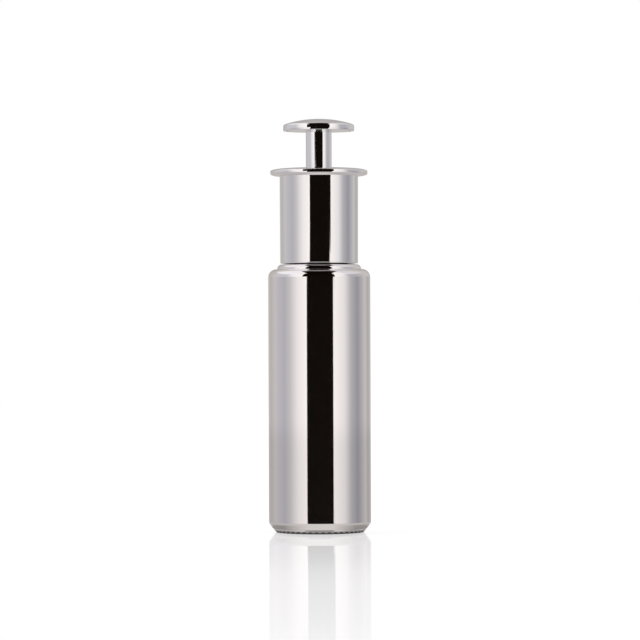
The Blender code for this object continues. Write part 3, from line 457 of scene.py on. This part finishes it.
def light_by_bearing(tree, direction, left_levels, right_levels):
    """Light that changes with the bearing from the front: warm there and cool at the sides."""
    parts = add_node(tree, "SeparateXYZ", {"Vector": direction})
    ahead = add_node(tree, "Math", {0: parts.outputs["Y"], 1: -1.0}, operation="MULTIPLY")
    bearing = add_node(tree, "Math", {0: parts.outputs["X"], 1: ahead.outputs["Value"]}, operation="ARCTAN2")
    aside = add_node(tree, "Math", {0: bearing.outputs["Value"]}, operation="ABSOLUTE")
    share = add_node(tree, "MapRange", {"Value": aside.outputs["Value"], "From Max": math.pi})
    ramps = []
    for levels in (left_levels, right_levels, TINTS):
        ramp = add_node(tree, "ValToRGB", {"Fac": share.outputs["Result"]})
        stops = ramp.color_ramp.elements
        stops.remove(stops[1])
        stops[0].position = levels[0][0] / 180
        for degrees, level in levels:
            stop = stops[0] if degrees == levels[0][0] else stops.new(degrees / 180)
            stop.color = linear(level) if isinstance(level, str) else (level, level, level, 1)
        ramps.append(ramp.outputs["Color"])
    left, right, tint = ramps
    is_right = add_node(tree, "Math", {0: bearing.outputs["Value"], 1: 0.0}, operation="GREATER_THAN")
    grey = add_node(tree, "Mix", {"Factor": is_right.outputs["Value"], "A": left, "B": right},
                    data_type="RGBA")
    tinted = add_node(tree, "Mix", {"Factor": 1.0, "A": grey.outputs["Result"], "B": tint},
                      data_type="RGBA", blend_type="MULTIPLY")
    return tinted.outputs["Result"]


def hang(name, bm, material):
    """Hangs a cloth in the studio, which the metal shows and the camera doesn't see."""
    cloth = make_object(name, bm, material)
    cloth.visible_camera = False


# Black velvet, and tent cloth lit from behind. The table's sharp mirror shows both as plain white, so that
# the table stays white at any angle.
black_velvet, tree = start_material("black_velvet")
light_path = add_node(tree, "LightPath")
pile = add_node(tree, "BsdfDiffuse", {"Color": linear("#181310")})
table_sees = add_node(tree, "Emission", {"Color": WHITE})
cloth_mix = add_node(tree, "MixShader", {
    0: light_path.outputs["Is Singular Ray"], 1: pile.outputs["BSDF"], 2: table_sees.outputs["Emission"]})
add_node(tree, "OutputMaterial", {"Surface": cloth_mix.outputs["Shader"]})
hangings = [("black_" + name, black_velvet, BLACK_RADIUS, heights, first, last)
            for name, heights, first, last in BLACK_CLOTHS]
for name, heights, left_levels, right_levels in TENT_RINGS:
    tent_cloth, tree = start_material("tent_cloth_lit_" + name)
    place = add_node(tree, "TexCoord")
    light_path = add_node(tree, "LightPath")
    light = light_by_bearing(tree, place.outputs["Object"], left_levels, right_levels)
    glow = add_node(tree, "Emission", {"Color": light})
    table_sees = add_node(tree, "Emission", {"Color": WHITE})
    cloth_mix = add_node(tree, "MixShader", {
        0: light_path.outputs["Is Singular Ray"], 1: glow.outputs["Emission"],
        2: table_sees.outputs["Emission"]})
    add_node(tree, "OutputMaterial", {"Surface": cloth_mix.outputs["Shader"]})
    hangings.append(("tent_" + name, tent_cloth, TENT_RADIUS, heights, 0, 360))
for name, material, distance, heights, first, last in hangings:
    cloth = bmesh.new()
    pole = [cloth.verts.new((0, -distance, height)) for height in heights]
    edge = cloth.edges.new(pole)
    bmesh.ops.rotate(cloth, cent=(0, 0, 0), matrix=Matrix.Rotation(math.radians(first), 3, "Z"), verts=pole)
    bmesh.ops.spin(cloth, geom=pole + [edge], cent=(0, 0, 0), axis=(0, 0, 1),
                   angle=math.radians(last - first), steps=math.ceil((last - first) / STEP_DEGREES))
    hang(name, cloth, material)
overhead = bmesh.new()
front_pole = [overhead.verts.new((side * OVERHEAD_FRONT, -TENT_RADIUS, TENT_TOP)) for side in (-1, 1)]
front_edge = overhead.edges.new(front_pole)
drawn_back = bmesh.ops.extrude_edge_only(overhead, edges=[front_edge])["geom"]
back_pole = [part for part in drawn_back if isinstance(part, bmesh.types.BMVert)]
bmesh.ops.translate(overhead, vec=(0, TENT_RADIUS + OVERHEAD_END, 0), verts=back_pole)
bmesh.ops.scale(overhead, vec=(OVERHEAD_BACK / OVERHEAD_FRONT, 1, 1), verts=back_pole)
hang("black_overhead", overhead, black_velvet)

# Open sky over the tent, with the white backdrop that the camera sees instead.
world = bpy.data.worlds.new("studio")
bpy.context.scene.world = world
world.use_nodes = True
tree = world.node_tree
tree.nodes.clear()
place = add_node(tree, "TexCoord")
light_path = add_node(tree, "LightPath")
light = light_by_bearing(tree, place.outputs["Generated"], LEFT_SKY, RIGHT_SKY)
sky = add_node(tree, "Background", {"Color": light})
backdrop = add_node(tree, "Background", {"Color": WHITE})
shown = add_node(tree, "MixShader", {
    0: light_path.outputs["Is Camera Ray"], 1: sky.outputs["Background"], 2: backdrop.outputs["Background"]})
add_node(tree, "OutputWorld", {"Surface": shown.outputs["Shader"]})

# White table that the bottle stands on. Its own glow brings it up to white, and its diffuse light keeps the
# bottle's shadow. It is polished, so at a low angle it mirrors the bottle faintly. To the metal it shows a
# painted glow: pale in front, greyer at the sides, and a painted shadow that is dark where the foot hides it.
TABLE_RADIUS, TABLE_SIDES, TABLE_GLOW, TABLE_PAINT = 1.5, 64, 0.78, 0.5
MIRROR_NEAR, MIRROR_FAR, MIRROR_GREY, WARMTH = 0.80, 1.15, 0.88, (1.05, 0.98)
MIRROR_STARTS, MIRROR_FULL, FRONT_ENDS, SIDE_STARTS = 0.82, 0.92, 17, 55
SEEN_MIRROR = (  # the mirror's share in what the camera sees, by how far the table faces away
    (0.900, 0), (0.9163, 0.16), (0.928, 0.22), (0.9325, 0.32), (0.9372, 0.42), (0.9398, 0.28), (1.0, 0.6))
RADIUS_UNIT = 100  # mm that are 1 on the ramps of the next two rows, which give painted light by mm from the axis, with a painted shadow close under the foot
FRONT_PAINTED_LIGHT_BY_RADIUS = ((12.95, 0.05), (13.15, 0.3), (13.7, 0.3), (14.3, 0.65), (80, 0.7))
SIDE_PAINTED_LIGHT_BY_RADIUS = ((12.95, 0.05), (13.15, 0.25), (15.6, 0.3), (17, 0.45), (22, 0.5))
top = bmesh.new()
bmesh.ops.create_circle(top, cap_ends=True, radius=TABLE_RADIUS, segments=TABLE_SIDES)
polished_acrylic, tree = start_material("white_acrylic_polished")
place = add_node(tree, "TexCoord")
light_path = add_node(tree, "LightPath")
facing = add_node(tree, "LayerWeight", {"Blend": 0.5})
from_axis = add_node(tree, "VectorMath", {0: place.outputs["Object"]}, operation="LENGTH")
by_radius = add_node(tree, "MapRange", {"Value": from_axis.outputs["Value"], "From Max": RADIUS_UNIT * MM})
parts = add_node(tree, "SeparateXYZ", {"Vector": place.outputs["Object"]})
aside = add_node(tree, "Math", {0: parts.outputs["X"]}, operation="ABSOLUTE")
ahead = add_node(tree, "Math", {0: parts.outputs["Y"], 1: -1.0}, operation="MULTIPLY")
bearing = add_node(tree, "Math", {0: aside.outputs["Value"], 1: ahead.outputs["Value"]}, operation="ARCTAN2")
to_side = add_node(tree, "MapRange", {
    "Value": bearing.outputs["Value"], "From Min": math.radians(FRONT_ENDS),
    "From Max": math.radians(SIDE_STARTS)})
ramps = []
for value, steps, unit, (red, blue) in ((facing.outputs["Facing"], SEEN_MIRROR, 1, (1, 1)),
                                        (by_radius.outputs["Result"], FRONT_PAINTED_LIGHT_BY_RADIUS, RADIUS_UNIT, WARMTH),
                                        (by_radius.outputs["Result"], SIDE_PAINTED_LIGHT_BY_RADIUS, RADIUS_UNIT, WARMTH)):
    ramp = add_node(tree, "ValToRGB", {"Fac": value})
    stops = ramp.color_ramp.elements
    stops.remove(stops[1])
    stops[0].position = steps[0][0] / unit
    for position, level in steps:
        stop = stops[0] if position == steps[0][0] else stops.new(position / unit)
        stop.color = (level * red, level, level * blue, 1)
    ramps.append(ramp.outputs["Color"])
seen_mirror, front_painted_light, side_painted_light = ramps
low_mirror = add_node(tree, "MapRange", {
    "Value": facing.outputs["Facing"], "From Min": MIRROR_STARTS, "From Max": MIRROR_FULL})
far_tint = add_node(tree, "MapRange", {
    "Value": from_axis.outputs["Value"], "From Min": MIRROR_NEAR, "From Max": MIRROR_FAR,
    "To Min": MIRROR_GREY})
sharp = add_node(tree, "BsdfGlossy", {"Color": WHITE, "Roughness": 0.0})
soft = add_node(tree, "BsdfGlossy", {"Color": far_tint.outputs["Result"], "Roughness": 0.05})
paint = add_node(tree, "BsdfDiffuse", {"Color": (TABLE_PAINT, TABLE_PAINT, TABLE_PAINT, 1)})
glow = add_node(tree, "Emission", {"Strength": TABLE_GLOW})
matt = add_node(tree, "AddShader", {0: paint.outputs["BSDF"], 1: glow.outputs["Emission"]})
# Painted light for the metal: a glow by radius and bearing, pale in front and greyer at the sides, with a
# painted shadow dark close under the foot.
front = add_node(tree, "Emission", {"Color": front_painted_light})
side = add_node(tree, "Emission", {"Color": side_painted_light})
painted_glow_for_metal = add_node(tree, "MixShader", {
    0: to_side.outputs["Result"], 1: front.outputs["Emission"], 2: side.outputs["Emission"]})
for_camera = add_node(tree, "MixShader", {
    0: seen_mirror, 1: matt.outputs["Shader"], 2: sharp.outputs["BSDF"]})
for_metal = add_node(tree, "MixShader", {
    0: low_mirror.outputs["Result"], 1: painted_glow_for_metal.outputs["Shader"], 2: soft.outputs["BSDF"]})
table_mix = add_node(tree, "MixShader", {
    0: light_path.outputs["Is Camera Ray"], 1: for_metal.outputs["Shader"], 2: for_camera.outputs["Shader"]})
add_node(tree, "OutputMaterial", {"Surface": table_mix.outputs["Shader"]})
make_object("table", top, polished_acrylic)

# Camera. Level, a little over a metre away, a touch right of the bottle's axis and rolled by a fifth of a
# degree. The focal length in pixels is the one that shows the bottle at its size in the photograph.
CAMERA_RIGHT, CAMERA_DISTANCE, CAMERA_HEIGHT, CAMERA_ROLL = 0.19, 1050, 62.35, 0.2
SENSOR_WIDTH, PICTURE_PIXELS, FOCAL_PIXELS, CLIP_START = 36, 640, 3570, 10
camera_data = bpy.data.cameras.new("camera")
camera_data.sensor_width = SENSOR_WIDTH
camera_data.lens = FOCAL_PIXELS / PICTURE_PIXELS * SENSOR_WIDTH
camera_data.clip_start = CLIP_START * MM
camera = bpy.data.objects.new("camera", camera_data)
camera.location = (CAMERA_RIGHT * MM, -CAMERA_DISTANCE * MM, CAMERA_HEIGHT * MM)
camera.rotation_euler = (math.pi / 2, math.radians(CAMERA_ROLL), 0)
bpy.context.scene.collection.objects.link(camera)
bpy.context.scene.camera = camera
bpy.context.scene.view_settings.view_transform = "Standard"
